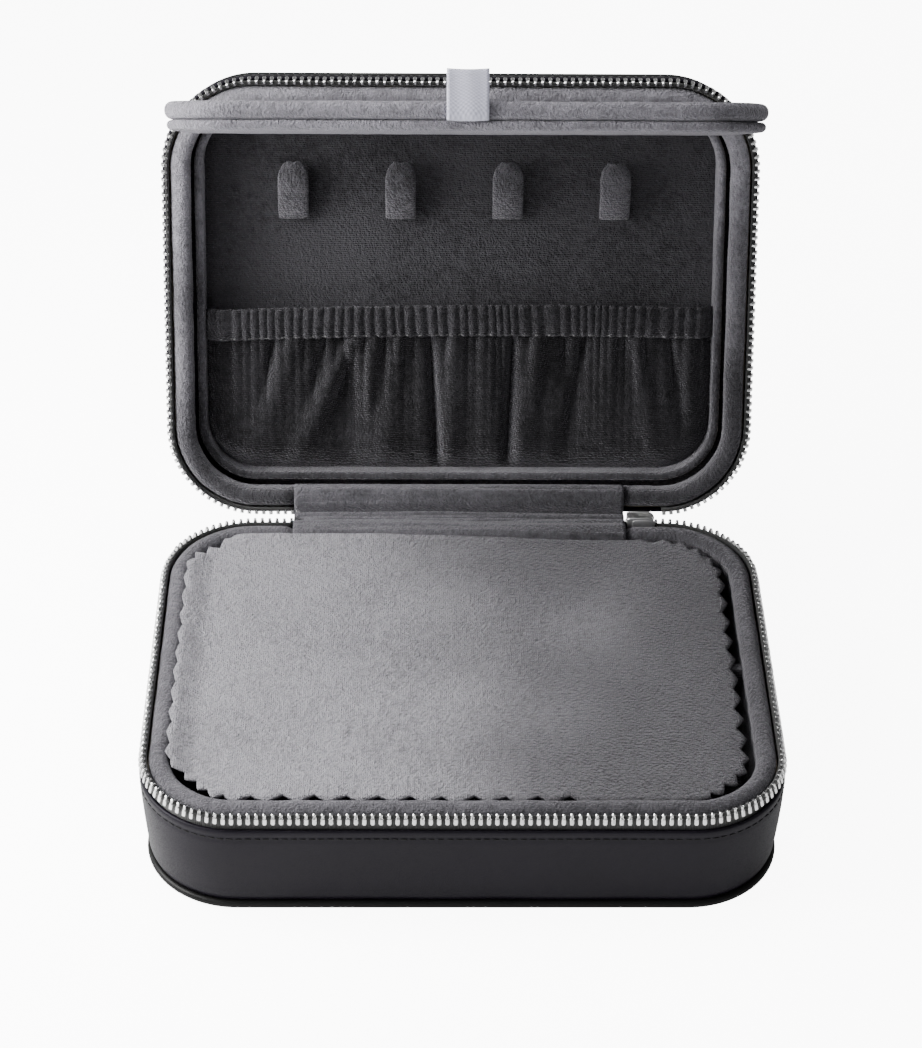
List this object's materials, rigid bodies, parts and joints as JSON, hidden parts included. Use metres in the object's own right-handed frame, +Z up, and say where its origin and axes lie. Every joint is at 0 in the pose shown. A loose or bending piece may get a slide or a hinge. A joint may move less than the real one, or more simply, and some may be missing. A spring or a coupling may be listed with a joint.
{
  "type": "leather jewellery case",
  "caption": "Zip-round leather jewellery case with a hinged lid, a fold-out mirror flap, padded velvet rims, lid pocket, necklace hooks and ring rolls under a loose cloth",
  "frame": {"origin": "centre of the underside of the base", "axes": "+X to the right, +Y to the back where the spine is, +Z up; lid open as it stands in use"},
  "size_m": [0.167, 0.1939, 0.1966],
  "materials": {
    "leather": "satin, near black",
    "welt": "black piping",
    "board": "matte",
    "velvet": "short velvet pile",
    "cover_velvet": "short velvet pile, pinked edges",
    "roll_foam": "velvet over foam",
    "zip_tape": "woven, black",
    "tooth_metal": "bright nickel",
    "slider_metal": "dark nickel",
    "mirror_glass": "polished",
    "ribbon": "satin ribbon"
  },
  "bodies": {
    "base": {"base_bottom_board": "board", "base_leather_bottom": "leather", "base_leather_wall": "leather", "base_lining_floor": "velvet", "base_lining_wall": "velvet", "base_rim": "velvet", "base_wall_board": "board", "base_welt": "welt", "divider_across": "velvet", "divider_short": "velvet", "ring_roll_1": "roll_foam", "ring_roll_2": "roll_foam", "ring_roll_3": "roll_foam", "ring_roll_4": "roll_foam", "ring_roll_5": "roll_foam", "ring_roll_6": "roll_foam", "spine_leather_base": "leather", "spine_lining_base": "velvet", "zip_end_stop_base": "tooth_metal", "zip_tape_base": "zip_tape", "zip_teeth_base": "tooth_metal"},
    "lid": {"lid_leather_top": "leather", "lid_leather_wall": "leather", "lid_liner_bead": "velvet", "lid_lining_panel": "velvet", "lid_rim": "velvet", "lid_top_board": "board", "lid_wall_board": "board", "lid_welt": "welt", "necklace_hook_1": "velvet", "necklace_hook_2": "velvet", "necklace_hook_3": "velvet", "necklace_hook_4": "velvet", "pocket_band": "velvet", "pocket_bottom_seam": "velvet", "pocket_pouch": "velvet", "spine_leather_lid": "leather", "spine_lining_lid": "velvet", "zip_end_stop_lid": "tooth_metal", "zip_tape_lid": "zip_tape", "zip_teeth_lid": "tooth_metal"},
    "mirror_flap": {"flap_back_layer": "velvet", "flap_front_layer": "velvet", "flap_ribbon_tab": "ribbon", "mirror_glass": "mirror_glass"},
    "cover": {"cover_cloth": "cover_velvet"},
    "zip_slider": {"slider_body": "slider_metal", "slider_bail": "slider_metal"},
    "zip_pull": {"pull_tab": "slider_metal"}
  },
  "joints": [
    {"name": "lid_hinge", "type": "hinge", "parent": "base", "child": "lid", "pos_m": [0, 0.0629, 0.0306], "axis": [1, 0, 0], "range_deg": [-30, 86]},
    {"name": "flap_fold", "type": "hinge", "parent": "lid", "child": "mirror_flap", "pos_m": [0, 0.10852, 0.13822], "axis": [1, 0, 0], "range_deg": [-20, 98]},
    {"name": "cover_lift", "type": "slide", "parent": "base", "child": "cover", "axis": [0, 0, -1], "range_m": [-0.03, 0]},
    {"name": "slider_run", "type": "slide", "parent": "base", "child": "zip_slider", "axis": [1, 0, 0], "range_m": [0, 0.003]},
    {"name": "pull_swing", "type": "hinge", "parent": "zip_slider", "child": "zip_pull", "pos_m": [0.0516, 0.06366, 0.0321], "axis": [1, 0, 0], "range_deg": [0, 30]}
  ]
}
